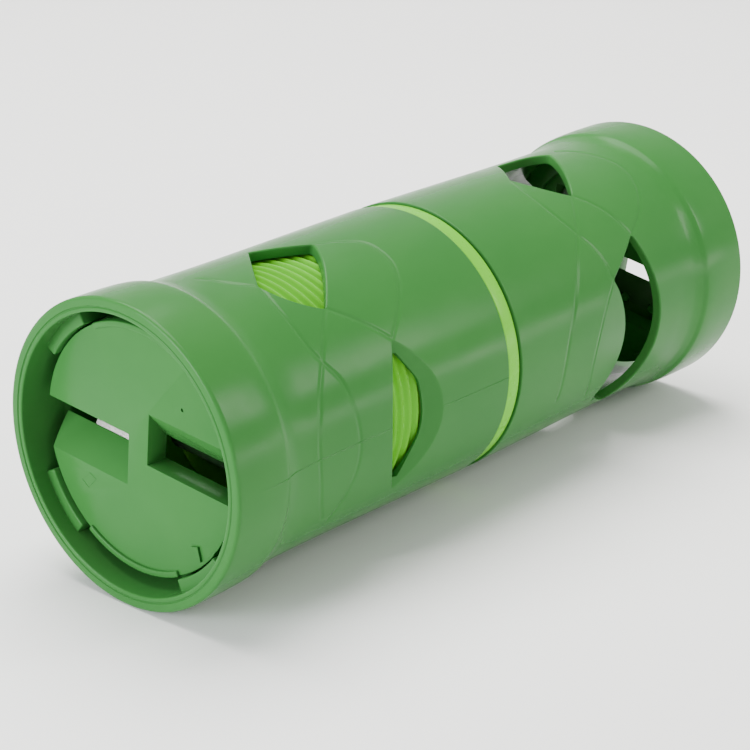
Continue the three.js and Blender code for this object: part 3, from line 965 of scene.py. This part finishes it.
def disc_stakes(degrees):
    """The heads that hold one blade on its seat."""
    stakes = []
    for centre in STAKES:
        stake = prism("stake", circle(STAKE_RADIUS, 32, centre), -0.5, STAKE_HEIGHT)
        stakes.append(turn(seated(bevelled(stake, STAKE_ROUNDING)), degrees))
    return stakes


def disc_lip(angle):
    """A low raised edge along part of the disc's rim."""
    outline = sector(DISC_RADIUS - LIP_WIDTH, DISC_RADIUS + 0.2, angle, LIP_SPAN, 24)
    lip = prism("lip", outline, DISC_FACE - LIP_HEIGHT - HALF, DISC_BACK - 0.2 - HALF)
    return bevelled(lip, MOULDED_EDGE)


def cutter_disc(name, put):
    """A disc with two chutes and two blade seats, put in its place in the front or the rear."""
    body = prism(name, circle(DISC_RADIUS), DISC_FACE - HALF, DISC_BACK - HALF)
    tools = [turn(make(), degrees) for degrees in (0, 180) for make in (chute_cutter, seat_pocket)]
    combine(body, tools, "DIFFERENCE")
    merged_flats(body)
    bevelled(body, MOULDED_EDGE)
    combine(body, disc_stakes(0) + disc_stakes(180), "UNION")
    put(body)
    lips = [disc_lip(angle) for angle in LIP_ANGLES]
    if put is at_rear:
        lips = [mirrored(lip) for lip in lips]
    combine(body, lips, "UNION")
    if put is at_front:
        combine(body, face_marks(), "UNION")
        combine(body, [gate_dot()], "DIFFERENCE")
    return smooth_shaded(body, 30)


def grind_cutter(back):
    """Takes the blade's face down to a thin edge, which is left at the given distance above the seat."""
    side = [(BLADE_GAP - 0.02, BLADE_EDGE + 0.2), (BLADE_GAP - 0.02, BLADE_EDGE - GRIND_WIDTH),
            (back - EDGE_THICKNESS, BLADE_EDGE + 0.2)]
    return loft("grind", *([(x, y, z) for x, z in side] for y in (BLADE_START - 1, BLADE_END + 1)))


def blade(name, degrees, put):
    """A flat blade ground to an edge over the throat, with a hole for each stake."""
    outline = [(BLADE_START, BLADE_ROOT), (BLADE_END, BLADE_ROOT), (BLADE_END, BLADE_EDGE)]
    outline.append((BLADE_START, BLADE_EDGE))
    back = BLADE_GAP + BLADE_THICKNESS
    body = prism(name, outline, BLADE_GAP, back)
    holes = [prism("hole", circle(STAKE_RADIUS + STAKE_GAP, 32, c), 0, back + 1) for c in STAKES]
    combine(body, holes + [grind_cutter(back)], "DIFFERENCE")
    return smooth_shaded(put(turn(seated(body), degrees)), 20)


for end, put in (("front", at_front), ("rear", at_rear)):
    place(cutter_disc(f"{end}_disc", put), f"{end}_cutter", "green_plastic", GREEN, f"{end}_cutter_disc")
    for letter, degrees in (("a", 0), ("b", 180)):
        place(blade(f"{end}_edge_{letter}", degrees, put), f"{end}_cutter", "blade_steel", STEEL,
              f"{end}_blade_{letter}")


# ---- Grippers --------------------------------------------------------------------------------------------

def spike(back, y, z):
    """A pointed cone on a short foot, reaching forwards from a plate whose back is at the given depth."""
    root, neck = back - PLATE_THICKNESS + 0.5, back - PLATE_THICKNESS - 0.4
    corners = [(root, 0.0), (root, SPIKE_RADIUS), (neck, SPIKE_RADIUS), (back - SPIKE_REACH, SPIKE_TIP),
               (back - SPIKE_REACH, 0.0)]
    rings = [(x - HALF, max(r, 0.01)) for x, r in rounded(corners, (0, 0, 0.3, 0.1, 0), 3)]
    columns = 24
    turns = np.arange(columns) * 2 * math.pi / columns
    points = [(x, y + r * math.cos(t), z + r * math.sin(t)) for x, r in rings for t in turns]
    return solid("spike", points, tube_faces(len(rings), columns))


def gripper(name, back):
    """A round plate with rings of pointed spikes towards the front, its back at the given depth."""
    plate = prism(name, circle(PLATE_RADIUS), back - PLATE_THICKNESS - HALF, back - HALF)
    bevelled(plate, PLATE_ROUNDING)
    spikes = []
    for count, radius in SPIKE_RINGS:
        for a in np.arange(count) * 2 * math.pi / count:
            spikes.append(spike(back, radius * math.cos(a), radius * math.sin(a)))
    combine(plate, spikes, "UNION")
    return smooth_shaded(plate, 40)


front_gripper = gripper("front_spikes", FRONT_PLATE_BACK)
rear_gripper = mirrored(gripper("rear_spikes", REAR_PLATE_BACK))
place(front_gripper, "feed", "light_green_plastic", LIGHT_GREEN, "front_gripper")
place(rear_gripper, "feed", "light_green_plastic", LIGHT_GREEN, "rear_gripper")


# ---- Studio ----------------------------------------------------------------------------------------------

def studio_floor():
    """A pale sweep: flat round the object, curving up into a wall behind it."""
    profile = [(-FLOOR_REACH, 0.0)]
    for t in np.linspace(0, math.pi / 2, 16):
        profile.append((FLOOR_FLAT + FLOOR_BEND * math.sin(t), FLOOR_BEND * (1 - math.cos(t))))
    profile.append((FLOOR_FLAT + FLOOR_BEND, FLOOR_RISE + FLOOR_BEND))
    points = [(x, y, z) for x, z in profile for y in (-FLOOR_HALF_WIDTH, FLOOR_HALF_WIDTH)]
    faces = [(2 * i, 2 * i + 2, 2 * i + 3, 2 * i + 1) for i in range(len(profile) - 1)]
    mesh = bpy.data.meshes.new("floor")
    mesh.from_pydata(points, [], faces)
    mesh.update()
    floor = scene_object("floor", mesh)
    floor.rotation_euler = (0, 0, math.radians(FLOOR_TURN))
    mesh.polygons.foreach_set("use_smooth", [True] * len(mesh.polygons))
    mesh.materials.append(floor_paint("floor_paint"))


def area_light(name, location, target, size, power, colour):
    """A rectangular light turned towards its target."""
    data = bpy.data.lights.new(name, "AREA")
    data.shape = "RECTANGLE"
    data.size, data.size_y = size
    data.energy = power
    data.color = colour
    light = bpy.data.objects.new(name, data)
    bpy.context.scene.collection.objects.link(light)
    light.location = location
    light.rotation_euler = (Vector(target) - Vector(location)).to_track_quat("-Z", "Y").to_euler()


def white_surround(strength):
    """Even white light from all round."""
    world = bpy.data.worlds.new("surround")
    world.use_nodes = True
    background = world.node_tree.nodes["Background"]
    background.inputs["Color"].default_value = (1, 1, 1, 1)
    background.inputs["Strength"].default_value = strength
    bpy.context.scene.world = world


def camera():
    """The photograph's view: level, looking along the given azimuth and down."""
    data = bpy.data.cameras.new("camera")
    data.sensor_width = CAMERA_SENSOR
    data.lens = CAMERA_LENS
    data.clip_start, data.clip_end = 0.01, 10
    obj = bpy.data.objects.new("camera", data)
    bpy.context.scene.collection.objects.link(obj)
    obj.location = CAMERA_PLACE
    obj.rotation_euler = (math.radians(90 - VIEW_DOWN), 0, math.radians(VIEW_AZIMUTH - 90))
    bpy.context.scene.camera = obj


studio_floor()
white_surround(SURROUND)
for light in LIGHTS:
    area_light(*light)
camera()
